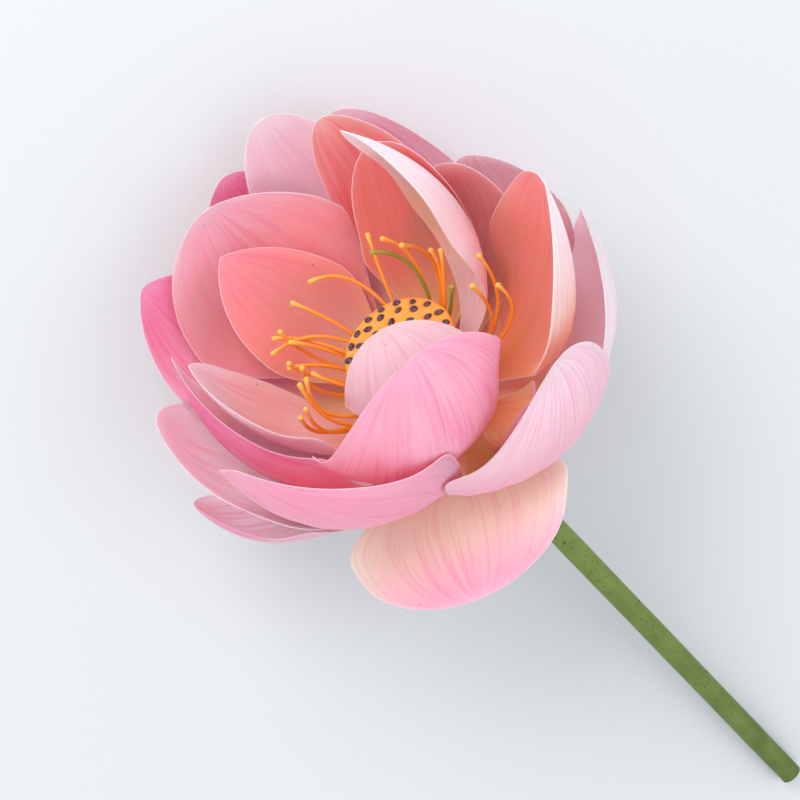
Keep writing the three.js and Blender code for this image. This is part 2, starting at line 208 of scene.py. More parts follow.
# %% The petals, one by one
PETALS = {
    "inner_petal_1": dict(
        azimuth=248.1, sway=11.6, foot=(8.6, 14.4), heel=(44.9, 32.8), tip=(9.2, 63.1),
        width=66.6, cup=62.3, roll=-7.1,
        inside=(SALMON, PINK, BLUSH), outside=(BLUSH, BLUSH, BLUSH),
    ),
    "inner_petal_2": dict(
        azimuth=251, sway=20, foot=(8.6, 11), heel=(78, 29), tip=(40, 77), width=101, cup=77,
        roll=7,
        inside=(SALMON, PINK, BLUSH), outside=(PINK, ROSE, ROSE),
        veins=("#EE6FA6", 0.3, 0.65),
    ),
    "inner_petal_3": dict(
        azimuth=178.5, sway=-18.3, foot=(8.6, 12.5), heel=(59.4, 15), tip=(64.1, 71.8),
        width=50.2, cup=62.2, roll=12.1, point=1.2,
        inside=(SALMON, SOFT_CORAL, BLUSH),
        outside=(BLUSH, BLUSH, BLUSH),
    ),
    "inner_petal_4": dict(
        azimuth=114.6, sway=1.2, foot=(8.6, 12.5), heel=(52.9, 17.6), tip=(70.1, 63.7),
        width=52.5, cup=49.3, roll=-4.7, point=1.15,
        inside=(APRICOT, DEEP_SALMON, ROSY_CORAL),
    ),
    "inner_petal_5": dict(
        azimuth=51.6, sway=-0.1, foot=(8.6, 12.5), heel=(60.7, 14.5), tip=(57.4, 80.5),
        width=49.9, cup=52.9, roll=5.2,
        inside=(APRICOT, DEEP_SALMON, CORAL), veins=("#C77F6C", 0.4, 0.3),
    ),
    "inner_petal_6": dict(
        azimuth=15.5, sway=36.3, foot=(8.6, 12.5), heel=(70.4, 35.9), tip=(44.7, 103),
        width=45.2, cup=74.5, roll=-27.9, point=1.3,
        inside=(BLUSH, PEACH, SHELL), outside=(BLUSH, BLUSH, SHELL),
        veins=(ROSE, 0.3, 0.3),
    ),
    "middle_petal_1": dict(
        azimuth=109, sway=-1, foot=(8.6, 9), heel=(77.9, 27.7), tip=(79.7, 74.1), width=80.3,
        cup=32, roll=-20.3, point=1.4,
        inside=(DEEP_SALMON, CORAL, PINK),
    ),
    "middle_petal_2": dict(
        azimuth=62.7, sway=5, foot=(8.6, 7.2), heel=(87.8, 15.2), tip=(67, 89.2), width=41.8,
        cup=48.7, roll=10.3, point=1.5,
        inside=(CORAL, CORAL, SOFT_CORAL), veins=("#E8485F", 0.45, 0.3),
    ),
    # Painted lightening: this petal stands in shade and gets paler tints to make up for it.
    "middle_petal_3": dict(
        azimuth=35.7, sway=-3.9, foot=(8.6, 9), heel=(68.4, 12.7), tip=(61, 63.9), width=54.1,
        cup=45.2, roll=5.8,
        inside=(PEACH, SOFT_CORAL, SOFT_CORAL),
    ),
    "middle_petal_4": dict(
        azimuth=345.4, sway=2.1, foot=(8.6, 9), heel=(63.9, 10.4), tip=(71, 79.3), width=72.9,
        cup=36.6, roll=8.4, curl=(0.3, 0), point=1.6,
        inside=(TERRACOTTA, DEEP_SALMON, CORAL), outside=(BLUSH, PEACH, SHELL),
        pale=(9, 0), veins=("#D9705F", 0.35, 0.3),
    ),
    "middle_petal_5": dict(
        azimuth=192.9, sway=-38.8, foot=(8.6, 9.4), heel=(74, 5), tip=(70.9, 69.5), width=70.5,
        cup=53.5, roll=20.8, point=1.3,
        inside=(PINK, PINK, BLUSH), outside=(ROSE, PEONY, DEEP_ROSE),
        veins=("#E54683", 0.35, 0.5),
    ),
    "middle_petal_6": dict(
        azimuth=295.5, sway=-2.6, foot=(8.6, 12), heel=(53, 9.3), tip=(43.1, 22.1), width=33.6,
        cup=52.6, roll=0.3,
        inside=(TERRACOTTA, SALMON, PEACH), outside=(BLUSH, ROSE, ROSE),
        veins=("#B96A48", 0.4, 0.3),
    ),
    "outer_petal_1": dict(
        azimuth=133.2, sway=-3.7, foot=(8.6, 5.5), heel=(83.9, 3.5), tip=(92.6, 66.5),
        width=65.5, cup=43.3, roll=-4.1, point=1.25,
        inside=(APRICOT, PINK, PEONY), veins=("#E8588E", 0.45, 0.4),
    ),
    "outer_petal_2": dict(
        azimuth=100.6, sway=-2.6, foot=(8.6, 1.2), heel=(98, -1.4), tip=(90.3, 69), width=62,
        cup=40.3, roll=-7.2, point=1.4,
        inside=(APRICOT, PINK, PEONY), veins=("#E8588E", 0.45, 0.4),
    ),
    "outer_petal_3": dict(
        azimuth=84, sway=0.4, foot=(8.6, 5.5), heel=(84.9, 9), tip=(90, 80), width=52, cup=38.7,
        roll=7.5,
        inside=(PEACH, PINK, BLUSH), veins=(ROSE, 0.3, 0.3),
    ),
    # Painted lightening: this petal stands in shade and gets paler tints to make up for it.
    "outer_petal_4": dict(
        azimuth=48.6, sway=18.2, foot=(8.6, 3.8), heel=(96.5, -5.5), tip=(87, 70), width=50.2,
        cup=34.7, roll=-15.1,
        inside=(BLUSH, BLUSH, BLUSH),
    ),
    # Painted lightening: this petal stands in shade and gets paler tints to make up for it.
    "outer_petal_5": dict(
        azimuth=24.4, sway=1.5, foot=(8.6, 5.3), heel=(89, 12), tip=(67.2, 62.3), width=55.8,
        cup=30.8, roll=9.2,
        inside=(PEACH, PINK, SHELL), veins=("#E0506A", 0.4, 0.4),
    ),
    # Painted lightening: this petal stands in shade and gets paler tints to make up for it.
    "outer_petal_6": dict(
        azimuth=329.7, sway=17.4, foot=(8.6, 3.6), heel=(82.6, 3.6), tip=(74.9, 47.1),
        width=80.7, cup=34.6, roll=-4,
        inside=(PEACH, BLUSH, BLUSH), outside=(SHELL, BLUSH, SHELL),
        veins=(ROSE, 0.3, 0.5),
    ),
    "outer_petal_7": dict(
        azimuth=273.9, sway=28.5, foot=(8.6, 5.8), heel=(84.9, 6.3), tip=(66.2, 50.8),
        width=71.9, cup=47.1, roll=-15.1,
        inside=(APRICOT, PEACH, PINK), outside=(BLUSH, PINK, BLUSH),
        veins=("#EF7FA6", 0.3, 0.5),
    ),
    "outer_petal_8": dict(
        azimuth=231.3, sway=-27.8, foot=(8.6, 4.4), heel=(79.1, 11), tip=(72.3, 71.4),
        width=91.4, cup=61.1, roll=8.2, point=1.3,
        inside=(SALMON, SOFT_CORAL, PINK), outside=(PINK, ROSE, ROSE),
        veins=("#EE6A9C", 0.35, 0.5),
    ),
    "guard_petal_1": dict(
        azimuth=180, sway=-14.3, foot=(8.6, 2), heel=(80.5, 1.1), tip=(84.3, 58), width=80.8,
        cup=34.2, roll=6, point=1.4,
        inside=(CREAM, SHELL, BLUSH), veins=(ROSE, 0.5, 0.4),
    ),
    "guard_petal_2": dict(
        azimuth=186, sway=-9, foot=(8.6, -1), heel=(83, -6.2), tip=(87, 27.1), width=67.9,
        cup=35.6, roll=22, point=1.4,
        inside=(CREAM, SHELL, PINK), outside=(CREAM, PINK, PEONY),
        veins=("#F07FB0", 0.5, 0.5),
    ),
    "guard_petal_3": dict(
        azimuth=248, sway=0.7, foot=(8.6, 2), heel=(44, 3.7), tip=(77.8, -3), width=88.1,
        cup=12.6, roll=7.4,
        inside=(PEACH, PALE_PEACH, ROSE), outside=(CREAM, SHELL, PINK),
        veins=("#F0609E", 0.32, 0.4),
    ),
}
for petal_name, petal_entry in PETALS.items():
    whorl = WHORLS[petal_name.split("_")[0]]
    PETALS[petal_name] = {**USUAL, **whorl, **petal_entry, "name": petal_name}
print("petals:", len(PETALS))

# %% [markdown]
# ## Where the frame puts the bloom
#
# The formula above is in the bloom's own place, and the frame's solids have been moved so that the
# flower rests on the surface. Comparing the middle of each petal's box with the same petal in the
# frame gives that move, and the petals agree on it to a small part of a millimetre.

# %% The shift from bloom to frame
COARSE_U, COARSE_V = np.meshgrid(np.linspace(0, 1, 25), np.linspace(-1, 1, 13), indexing="ij")


def box_middle(low, high):
    return (np.array(low) + np.array(high)) / 2


moves = []
for petal in PETALS.values():
    rough = laid(blade_points(petal, COARSE_U, COARSE_V)).reshape(-1, 3)
    moves.append(box_middle(*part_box(petal["name"])) - box_middle(rough.min(0), rough.max(0)))
shift = np.mean(moves, axis=0) / MM
print("shift in mm:", np.round(shift, 2), "spread in mm:", np.round(np.ptp(moves, axis=0) / MM, 2))

# %% [markdown]
# ## The camera
#
# The flower is seen from above as it lies: the line of sight leans 42 degrees from the bloom's
# axis towards azimuth 270, and the picture is turned until the stem leaves at the lower right. A
# long lens from a metre away keeps the near petals from swelling. It is made first, in the bloom's
# own directions, and then laid down with the flower.

# %% Camera
VIEW_LEAN = 42 * DEG
VIEW_TURN = 36.9 * DEG
VIEW_DISTANCE = 1000  # mm
AIM = np.array([-10.5, -17.6, 39.1])  # mm, in the bloom

level = np.array([1, 0, 0])
rise = np.array([0, math.cos(VIEW_LEAN), math.sin(VIEW_LEAN)])
back = np.array([0, -math.sin(VIEW_LEAN), math.cos(VIEW_LEAN)])
right = math.cos(VIEW_TURN) * level - math.sin(VIEW_TURN) * rise
above = math.sin(VIEW_TURN) * level + math.cos(VIEW_TURN) * rise

lens = bpy.data.cameras.new("long_lens")
lens.lens = 135
lens.clip_start, lens.clip_end = 0.05, 20
camera = bpy.data.objects.new("camera", lens)
camera.rotation_mode = "QUATERNION"
camera.location = laid(AIM + VIEW_DISTANCE * back)
axes = np.stack([turn @ right, turn @ above, turn @ back], axis=1)
camera.rotation_quaternion = Matrix(axes.tolist()).to_quaternion()
bpy.context.scene.collection.objects.link(camera)
bpy.context.scene.camera = camera
print("looking down at", round(math.degrees(math.asin((turn @ back)[2]))), "degrees")

# %% [markdown]
# ## From the formula to a closed petal
#
# A real petal is a thin fleshy sheet: about a millimetre at the foot, half that over the blade,
# and thinner still at the margin. A Solidify modifier gives one thickness everywhere, so the
# two faces are laid out here as two grids a little apart, joined round the rim. The margins get
# a slow ripple, and the blade a few shallow pleats along its length, as in a petal that has just
# unfolded.
#
# Each corner also remembers where it is on the petal. `place` holds v, u and which face it is on,
# and `edges` the distance in millimetres to the left margin, the right margin and the tip. The
# petal's skin is painted from these.

# %% Petal mesh
ROWS, COLUMNS = 84, 44
MARGIN_CROWDING = 1.35  # radians; the nearer this is to a quarter turn, the closer the outer columns
FOOT_THICKNESS, BLADE_THICKNESS, MARGIN_THICKNESS = 1.0, 0.6, 0.28  # mm
RIPPLE = 0.7  # depth of a margin's ripple, mm
PLEAT = 0.16  # depth of the pleats along the blade, mm
dice = np.random.default_rng(12)


def store(mesh, name, values, kind="FLOAT_VECTOR"):
    """Keeps numbers at a mesh's corners for its material to read."""
    attribute = mesh.attributes.new(name, kind, "POINT")
    field = "vector" if kind == "FLOAT_VECTOR" else "value"
    attribute.data.foreach_set(field, np.asarray(values, np.float32).ravel())


def unfolding(petal, u, v):
    """How far the living surface stands off the plain formula, mm."""
    phase = petal["phase"]
    margin = np.abs(v) ** 3 * smooth(u * 2.2) * (1 - u**8)
    ripple = np.sin(u * (9 + 2 * phase) + 2.6 * v + 6 * phase) + 0.5 * np.sin(u * 21 + 5 * phase + v)
    pleats = np.cos(v * 23 + 1.5 * np.sin(u * 4 + phase)) * smooth(u * 3) * (1 - u**4)
    return RIPPLE * margin * ripple + PLEAT * pleats


def petal_mesh(petal):
    along = np.linspace(0, 1, ROWS + 1)
    along = 0.35 * np.sin(along * math.pi / 2) + 0.65 * along
    across = np.sin(np.linspace(-1, 1, COLUMNS + 1) * MARGIN_CROWDING) / math.sin(MARGIN_CROWDING)
    u, v = np.meshgrid(along, across, indexing="ij")
    step = 1e-3

    def surface(a, b):
        a, b = np.clip(a, 0, 1), np.clip(b, -1, 1)
        return blade_points(petal, a, b, unfolding(petal, a, b))

    middle = surface(u, v)
    along_it = surface(u + step, v) - surface(u - step, v)
    across_it = surface(u, v + step) - surface(u, v - step)
    normal = np.cross(along_it, across_it)
    normal /= np.linalg.norm(normal, axis=-1, keepdims=True) + 1e-12
    body = BLADE_THICKNESS + (FOOT_THICKNESS - BLADE_THICKNESS) * (1 - smooth(u * 4))
    edge = np.maximum(np.abs(v) ** 6, smooth((u - 0.9) / 0.1))
    thick = (body + (MARGIN_THICKNESS - body) * edge)[..., None] / 2
    faces_in = (middle + normal * thick).reshape(-1, 3)
    faces_out = (middle - normal * thick).reshape(-1, 3)
    count = len(faces_in)

    grid = np.arange(count).reshape(ROWS + 1, COLUMNS + 1)
    a, b, c, d = grid[:-1, :-1], grid[1:, :-1], grid[1:, 1:], grid[:-1, 1:]
    inner = np.stack([a, b, c, d], -1).reshape(-1, 4)
    outer = np.stack([a, d, c, b], -1).reshape(-1, 4) + count
    rim = np.concatenate([grid[:, 0], grid[-1, 1:], grid[-2::-1, -1], grid[0, -2:0:-1]])
    following = np.roll(rim, -1)
    wall = np.stack([rim, rim + count, following + count, following], -1)

    mesh = bpy.data.meshes.new(petal["name"])
    corners = laid(np.concatenate([faces_in, faces_out]))
    mesh.from_pydata(corners.tolist(), [], np.concatenate([inner, outer, wall]).tolist())
    mesh.update()
    half = half_width(petal, u)
    midrib = surface(along, np.zeros_like(along))
    run = np.concatenate([[0], np.cumsum(np.linalg.norm(np.diff(midrib, axis=0), axis=1))])
    to_tip = np.repeat((run[-1] - run)[:, None], COLUMNS + 1, axis=1)
    place = np.stack([v, u, np.ones_like(u)], -1).reshape(-1, 3)
    edges = np.stack([half * (1 + v), half * (1 - v), to_tip], -1).reshape(-1, 3)
    store(mesh, "place", np.concatenate([place, place * [1, 1, 0]]))
    store(mesh, "edges", np.concatenate([edges, edges]))
    petal["length"] = float(run[-1])
    return mesh


# %% [markdown]
# ## Building a material from nodes
#
# A material is a small graph. One function adds any node, sets its options and joins its sockets,
# so the graphs below read as a list of what is done to the colour and the surface.

# %% The node helper
def add(tree, kind, sockets=None, **options):
    """Adds a node, sets its options, then fills each socket with a value or a link."""
    made = tree.nodes.new(kind)
    for option, value in options.items():
        setattr(made, option, value)
    for socket, value in (sockets or {}).items():
        if isinstance(value, bpy.types.NodeSocket):
            tree.links.new(value, made.inputs[socket])
        else:
            made.inputs[socket].default_value = value
    return made


def blank(name):
    """A new material with its shader and nothing joined to it: the tree and the shader's node."""
    material = bpy.data.materials.new(name)
    material.use_nodes = True
    tree = material.node_tree
    tree.nodes.clear()
    shader = add(tree, "ShaderNodeBsdfPrincipled")
    add(tree, "ShaderNodeOutputMaterial", {"Surface": shader.outputs["BSDF"]})
    return material, tree, shader


def grained(tree, size, detail):
    """Noise over the piece with features this many millimetres wide."""
    coords = add(tree, "ShaderNodeTexCoord")
    sockets = {"Vector": coords.outputs["Object"], "Scale": 1 / (size * MM), "Detail": detail}
    return add(tree, "ShaderNodeTexNoise", sockets).outputs["Fac"]


MIX_FACTOR, MIX_A, MIX_B, MIX_COLOUR = 0, 6, 7, 2  # the sockets a colour mix uses
print("a colour mix uses sockets", MIX_FACTOR, MIX_A, MIX_B)

# %% [markdown]
# ## Petal tissue
#
# Living petal tissue is water-filled cells under a waxy cuticle, with the pink in the cells and
# the light going well into it. That gives the eye a soft glow with almost no shine, deeper colour
# where petals throw light at each other, and fine streaks where the veins fan out from the claw.
# Its IOR is that of watery cell walls, 1.4. Light goes up to 3.5 mm through it, so a petal in
# shade glows a little from the lit face behind it.
#
# The real veins are about 1.1 mm apart where the blade is widest. They are drawn as noise that is
# stretched along the petal. Finer ribs, 0.5 mm apart, lie between them and only show as bump.
# Small wrinkles run across the blade, 2 mm apart, and a few dark specks 0.4 mm wide mark it.

# %% Petal material
VEIN_SPACING = 1.1  # mm
RIB_SPACING = 0.55  # mm
WRINKLE_SPACING = 2.0  # mm
SPECK_SPACING = 16.0  # mm, and 0.4 mm wide
SPECK_COLOUR = "#7A3B48"
# the paler colour of the painted highlights on lit folds and along the margins
MARGIN_HIGHLIGHT_COLOUR = "#FDE0E8"


def petal_tissue(petal):
    material, tree, shader = blank(petal["name"] + "_tissue")
    place = add(tree, "ShaderNodeAttribute", attribute_name="place")
    edges = add(tree, "ShaderNodeAttribute", attribute_name="edges")
    where = add(tree, "ShaderNodeSeparateXYZ", {0: place.outputs["Vector"]})
    edge = add(tree, "ShaderNodeSeparateXYZ", {0: edges.outputs["Vector"]})
    v, u, inside = where.outputs[0], where.outputs[1], where.outputs[2]

    def stretched(across, along, detail, offset=0.0):
        """Noise with features this many millimetres wide and long."""
        scale = (petal["width"] / 2 / across, petal["length"] / along, 9.7)
        seed = (7 * petal["phase"] + offset, 3 * petal["phase"] + offset, offset)
        sockets = {0: place.outputs["Vector"], 1: scale, 2: seed}
        moved = add(tree, "ShaderNodeVectorMath", sockets, operation="MULTIPLY_ADD")
        noise = add(tree, "ShaderNodeTexNoise", {"Vector": moved.outputs[0], "Scale": 1.0, "Detail": detail})
        return noise.outputs["Fac"]

    def ranged(value, low, high, to_low=0.0, to_high=1.0):
        sockets = {"Value": value, 1: low, 2: high, 3: to_low, 4: to_high}
        return add(tree, "ShaderNodeMapRange", sockets, interpolation_type="SMOOTHSTEP").outputs[0]

    def mixed(factor, one, other):
        return add(
            tree, "ShaderNodeMix", {MIX_FACTOR: factor, MIX_A: one, MIX_B: other}, data_type="RGBA"
        ).outputs[MIX_COLOUR]

    def maths(operation, one, other):
        return add(tree, "ShaderNodeMath", {0: one, 1: other}, operation=operation).outputs[0]

    def lengthways(colours):
        foot, blade, tip = colours
        near = mixed(ranged(u, 0.12, 0.5), linear(foot), linear(blade))
        return mixed(ranged(u, 0.55, 1.0), near, linear(tip))

    base = mixed(inside, lengthways(petal["outside"]), lengthways(petal["inside"]))
    cloud = stretched(16, 22, 2.0, 3.1)
    veins = stretched(VEIN_SPACING, 34, 1.5)
    bands = stretched(5.5, 40, 1.0, 5.3)
    vein_colour, strong_in, strong_out = petal["veins"]
    streak = maths("MULTIPLY", ranged(veins, 0.42, 0.68), ranged(bands, 0.3, 0.62, 0.25, 1.0))
    streak = maths("MULTIPLY", streak, ranged(u, 0.25, 0.8, 0.45, 1.0))
    strength = ranged(inside, 0.0, 1.0, strong_out, strong_in)
    coloured = mixed(maths("MULTIPLY", streak, strength), base, linear(vein_colour))
    flushed = mixed(ranged(cloud, 0.35, 0.75, 0.0, 0.22), coloured, linear(petal["inside"][2]))

    # Painted highlight: within `pale` millimetres of a margin, a lit fold of the inside face is painted
    # paler.
    left, right_side = petal["pale"]
    highlighted_folds = flushed
    for reach, distance in ((left, edge.outputs[0]), (right_side, edge.outputs[1])):
        if reach:
            fold = maths("MULTIPLY", ranged(distance, reach * 0.75, reach, 0.9, 0.0), ranged(u, 0.25, 0.5))
            highlighted_folds = mixed(maths("MULTIPLY", fold, inside), highlighted_folds, linear(MARGIN_HIGHLIGHT_COLOUR))

    # Painted highlight: a thin paler rim, 0.6 mm wide, along both margins and the tip.
    nearest = maths("MINIMUM", maths("MINIMUM", edge.outputs[0], edge.outputs[1]), edge.outputs[2])
    rim_highlighted = mixed(ranged(nearest, 0.1, 0.6, 0.2, 0.0), highlighted_folds, linear(MARGIN_HIGHLIGHT_COLOUR))
    speck_scale = (petal["width"] / 2 / SPECK_SPACING, petal["length"] / SPECK_SPACING, 5.0)
    speck_place = add(
        tree,
        "ShaderNodeVectorMath",
        {0: place.outputs["Vector"], 1: speck_scale, 2: (petal["phase"] * 11, 2.5, 0)},
        operation="MULTIPLY_ADD",
    )
    specks = add(tree, "ShaderNodeTexVoronoi", {"Vector": speck_place.outputs[0], "Scale": 1.0})
    spot = ranged(specks.outputs["Distance"], 0.018, 0.034, 0.75, 0.0)
    tree.links.new(mixed(spot, rim_highlighted, linear(SPECK_COLOUR)), shader.inputs["Base Color"])

    ribs = stretched(RIB_SPACING, 30, 0.0, 8.2)
    wrinkles = stretched(12, WRINKLE_SPACING, 2.0, 1.7)
    relief = maths("ADD", maths("MULTIPLY", veins, 0.5), maths("MULTIPLY", ribs, 0.25))
    relief = maths("ADD", relief, maths("MULTIPLY", wrinkles, 0.35))
    bump = add(tree, "ShaderNodeBump", {"Height": relief, "Strength": 0.45, "Distance": 0.3 * MM})
    tree.links.new(bump.outputs[0], shader.inputs["Normal"])
    tree.links.new(ranged(cloud, 0.3, 0.7, 0.5, 0.62), shader.inputs["Roughness"])
    shader.inputs["IOR"].default_value = 1.4
    shader.inputs["Specular IOR Level"].default_value = 0.35
    shader.inputs["Subsurface Weight"].default_value = 0.9
    shader.inputs["Subsurface Radius"].default_value = (1.0, 0.5, 0.5)
    shader.inputs["Subsurface Scale"].default_value = 3.5 * MM
    return material


# %% [markdown]
# ## Putting a piece in the flower
#
# Every finished piece rides on the flower's one body and hides the solid it stands for.

# %% Petals in place
def settle(name, mesh, material, slot_name, *nodes):
    """Makes an object of a mesh, smooth-shaded, in place of these solids."""
    piece = bpy.data.objects.new(name, mesh)
    bpy.context.scene.collection.objects.link(piece)
    mesh.polygons.foreach_set("use_smooth", [True] * len(mesh.polygons))
    mesh.materials.append(material)
    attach(piece, "root")
    if nodes:
        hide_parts(*nodes)
    return piece


for petal in PETALS.values():
    petal["phase"] = float(dice.uniform(0, 1))
    mesh = petal_mesh(petal)
    slot_name = "inner_petal" if petal["name"].startswith(("inner", "middle")) else "outer_petal"
    settle(petal["name"] + "_blade", mesh, petal_tissue(petal), slot_name, petal["name"])
print("petal faces each:", len(mesh.polygons), "and the last is", round(petal["length"]), "mm long")

# %% [markdown]
# ## Tubes
#
# Stamens and the stem are both round rods that bend, so one function makes them: it carries a
# ring of corners along a path, turning it as little as it can, and closes both ends. A Blender
# curve with a bevel would do it too, but a mesh keeps the distance along the rod for the skin.

# %% Tube mesh
def tube(path, radii, sides):
    """Corners and faces of a closed rod, and how far each corner is along it and round it."""
    path, radii = np.asarray(path, float), np.asarray(radii, float)
    heading = np.gradient(path, axis=0)
    heading /= np.linalg.norm(heading, axis=1, keepdims=True)
    side = np.cross(heading[0], [0.3, 0.9, 0.1])
    angles = np.linspace(0, 2 * math.pi, sides, endpoint=False)
    rings = []
    for point, ahead, radius in zip(path, heading, radii):
        side = side - ahead * (side @ ahead)
        side /= np.linalg.norm(side)
        other = np.cross(ahead, side)
        rings.append(point + radius * (np.outer(np.cos(angles), side) + np.outer(np.sin(angles), other)))
    corners = np.concatenate(rings)
    grid = np.arange(len(corners)).reshape(len(path), sides)
    beside = np.roll(grid, -1, axis=1)
    quads = np.stack([grid[:-1], beside[:-1], beside[1:], grid[1:]], -1).reshape(-1, 4).tolist()
    quads += [grid[0][::-1].tolist(), grid[-1].tolist()]
    run = np.concatenate([[0], np.cumsum(np.linalg.norm(np.diff(path, axis=0), axis=1))])
    place = np.stack([np.repeat(run, sides), np.tile(angles, len(path)), np.repeat(run / run[-1], sides)], -1)
    return corners, quads, place


def around_axis(azimuth, radius, height):
    """A point of the bloom from its angle round the axis, radius and height."""
    return np.array([radius * math.cos(azimuth * DEG), radius * math.sin(azimuth * DEG), height])


# %% [markdown]
# ## Stamens
#
# A lotus stamen is a smooth, waxy, orange-yellow filament that ends in a small club. The real ones
# are 1.3 mm thick and bend outward from under the receptacle's rim. Each follows a quadratic
# curve, as in the frame, given by where it leaves the neck, what it bends towards and where its
# tip is. The club swells over the last 4 mm and is rounded off.

# %% The stamens, one by one
STAMEN_FOOT_RADIUS = 9.2
FILAMENT_RADIUS, CLUB_RADIUS = 0.65, 1.05
STAMEN_USUAL = {"height": 17.2, "bow": (27, 45), "sway": 0}
STAMENS = [
    dict(azimuth=62.3, sway=42.6, tip=(45.5, 47.5), height=17.2, bow=(40.4, 48.1)),
    dict(azimuth=110, sway=7.9, tip=(43.9, 50.3), height=17.2, bow=(26.2, 43.5)),
    dict(azimuth=137.3, sway=-2.3, tip=(41.4, 52.3), height=16.4, bow=(40.6, 34.4)),
    dict(azimuth=112.8, sway=28.8, tip=(46.6, 45.1), height=19.4, bow=(25.7, 55.6)),
    dict(azimuth=137.5, sway=-5.5, tip=(49.3, 43.3), height=19.4, bow=(25.1, 52.5)),
    dict(azimuth=132, sway=7.4, tip=(38.3, 49.5), height=17.4, bow=(24.9, 42.1)),
    dict(azimuth=152.9, sway=5.4, tip=(35.6, 53.8), height=18.7, bow=(36.2, 39.3)),
    dict(azimuth=144.6, sway=9, tip=(39, 47.1), height=17.5, bow=(26.3, 45.4)),
    dict(azimuth=162, sway=2, tip=(31.3, 52.9), height=19.4, bow=(39.5, 32.5)),
    dict(azimuth=202.4, sway=-20.5, tip=(33.9, 57.9), height=17, bow=(41.4, 31.8)),
    dict(azimuth=200.3, sway=-23.6, tip=(30.9, 54.9), height=19.6, bow=(44.1, 41.5)),
    dict(azimuth=187.7, sway=-28.5, tip=(31, 45.2), height=20.5, bow=(25.3, 44.3)),
    dict(azimuth=191.2, sway=-3.9, tip=(37.5, 50.2), height=19.4, bow=(44.8, 27.8)),
    dict(azimuth=180.7, sway=5.6, tip=(40.6, 47.8), height=17.2, bow=(45.5, 26.4)),
    dict(azimuth=73, sway=-3.1, tip=(43.7, 52.8), height=17.3, bow=(25.9, 41.1)),
    dict(azimuth=36.1, sway=26.4, tip=(37.1, 54.9), height=17.2, bow=(42.1, 40.5)),
    dict(azimuth=23.8, sway=11.6, tip=(34.6, 49.8), height=16.6, bow=(34.2, 41.6)),
    dict(azimuth=24.9, sway=44.1, tip=(31.8, 55.7), height=19.4, bow=(38.6, 46.4), green=True),
    dict(azimuth=15.9, sway=9.3, tip=(34.5, 52.4), height=17.6, bow=(27.7, 43.2)),
    dict(azimuth=35.8, sway=1.1, tip=(25.7, 64.2), height=19.4, bow=(46.6, 36.9)),
    dict(azimuth=342.5, sway=14, tip=(39.3, 57.2), height=17.2, bow=(43.1, 25.9)),
    dict(azimuth=332.8, sway=12.9, tip=(39.5, 48), height=17.2, bow=(48.7, 30.1)),
    dict(azimuth=337.5, sway=3, tip=(33.1, 56.4), height=19.4, bow=(39, 26.1)),
    dict(azimuth=8, sway=0, tip=(27, 46), height=19.4, bow=(27, 45), green=True),
]
print("stamens:", len(STAMENS))

# %% [markdown]
# The filament's skin is the same waxy tissue as a petal's, but thicker, smoother and glossier:
# IOR 1.45 and a roughness near 0.4. The colour deepens along the filament and turns pale
# yellow on the pollen-dusted club. The pollen's grain is 0.5 mm, coarser than real, so that it
# shows. Two stamens have stayed green.

# %% Stamen material
POLLEN_GRAIN = 0.5  # mm


def waxy_filament(name, foot, shaft, club):
    material, tree, shader = blank(name)
    place = add(tree, "ShaderNodeAttribute", attribute_name="place")
    where = add(tree, "ShaderNodeSeparateXYZ", {0: place.outputs["Vector"]})
    share = where.outputs[2]
    ramp = add(tree, "ShaderNodeValToRGB", {0: share})
    for position, colour in ((0.0, foot), (0.45, shaft), (0.86, shaft), (0.97, club)):
        stop = ramp.color_ramp.elements[0] if position == 0.0 else ramp.color_ramp.elements.new(position)
        stop.color = linear(colour)
    ramp.color_ramp.elements[-1].color = linear(club)
    grain = grained(tree, POLLEN_GRAIN, 2.0)
    shade = add(
        tree,
        "ShaderNodeMix",
        {MIX_FACTOR: grain, MIX_A: (0.86, 0.82, 0.8, 1), MIX_B: (1.08, 1.08, 1.05, 1)},
        data_type="RGBA",
    )
    tinted = add(
        tree,
        "ShaderNodeMix",
        {MIX_FACTOR: 1.0, MIX_A: ramp.outputs[0], MIX_B: shade.outputs[MIX_COLOUR]},
        data_type="RGBA",
        blend_type="MULTIPLY",
    )
    tree.links.new(tinted.outputs[MIX_COLOUR], shader.inputs["Base Color"])
    relief = {"Height": grain, "Strength": 0.3, "Distance": 0.1 * MM}
    bump = add(tree, "ShaderNodeBump", relief)
    tree.links.new(bump.outputs[0], shader.inputs["Normal"])
    rough = add(tree, "ShaderNodeMapRange", {"Value": share, 1: 0.8, 2: 1.0, 3: 0.38, 4: 0.62})
    tree.links.new(rough.outputs[0], shader.inputs["Roughness"])
    shader.inputs["IOR"].default_value = 1.45
    shader.inputs["Subsurface Weight"].default_value = 0.2
    shader.inputs["Subsurface Radius"].default_value = (1.0, 0.5, 0.2)
    shader.inputs["Subsurface Scale"].default_value = 0.8 * MM
    return material


ripe_filament = waxy_filament("waxy_filament_ripe", "#E8861C", "#F9982C", "#FFC25A")
green_filament = waxy_filament("waxy_filament_green", "#6E7A26", "#8B8A2C", "#A9A24A")

